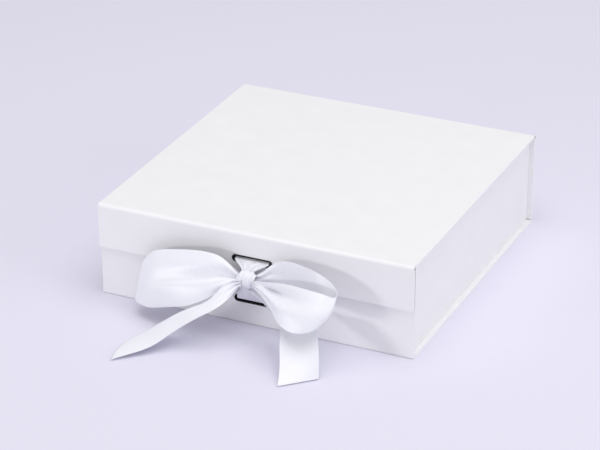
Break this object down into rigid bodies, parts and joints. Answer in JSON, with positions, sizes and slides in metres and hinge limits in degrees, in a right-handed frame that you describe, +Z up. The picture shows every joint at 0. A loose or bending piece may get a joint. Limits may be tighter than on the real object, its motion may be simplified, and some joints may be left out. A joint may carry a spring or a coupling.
{
  "type": "favor box",
  "caption": "Square paper-wrapped board gift box with a back-hinged lid, a magnetic front flap and a satin ribbon bow tied through slots in the front.",
  "frame": {"origin": "centre of the box's base, on the surface that it stands on", "axes": "+Z up, -Y towards the front flap and bow, +X to the right seen from the front"},
  "size_m": [0.22, 0.296, 0.066],
  "materials": {
    "paper": "smooth matt white wrap",
    "liner": "uncoated white liner",
    "board": "grey board",
    "card": "white-lined card",
    "tape": "double-sided adhesive",
    "edging": "black satin",
    "satin": "white satin ribbon",
    "magnet": "nickel-plated magnet",
    "steel": "bare steel"
  },
  "bodies": {
    "case": {"case_wrap": "paper", "left_wall_wrap": "paper", "right_wall_wrap": "paper", "lid_crease": "paper", "base_liner": "liner", "front_liner": "liner", "spine_liner": "liner", "left_wall_liner": "liner", "right_wall_liner": "liner", "lower_patch": "liner", "base_board": "board", "front_board": "board", "spine_board": "board", "left_wall_board": "board", "right_wall_board": "board", "left_front_ear": "card", "right_front_ear": "card", "left_rear_ear": "card", "right_rear_ear": "card", "left_front_tape": "tape", "right_front_tape": "tape", "left_rear_tape": "tape", "right_rear_tape": "tape", "lower_slot_edging": "edging", "lower_band": "satin", "keeper_discs": "steel"},
    "lid": {"lid_board": "board", "lid_wrap": "paper", "lid_liner": "liner", "flap_crease": "paper"},
    "flap": {"flap_board": "board", "flap_wrap": "paper", "flap_liner": "liner", "flap_magnets": "magnet", "upper_slot_edging": "edging", "upper_band": "satin", "upper_patch": "liner", "bow_knot": "satin", "bow_loop_left": "satin", "bow_loop_right": "satin", "bow_tail_left": "satin", "bow_tail_right": "satin"}
  },
  "joints": [
    {"name": "lid_hinge", "type": "hinge", "parent": "case", "child": "lid", "pos_m": [0, 0.10933, 0.06533], "axis": [-1, 0, 0], "range_deg": [0, 180]},
    {"name": "flap_hinge", "type": "hinge", "parent": "lid", "child": "flap", "pos_m": [0, -0.10933, 0.06533], "axis": [-1, 0, 0], "range_deg": [0, 90]}
  ]
}
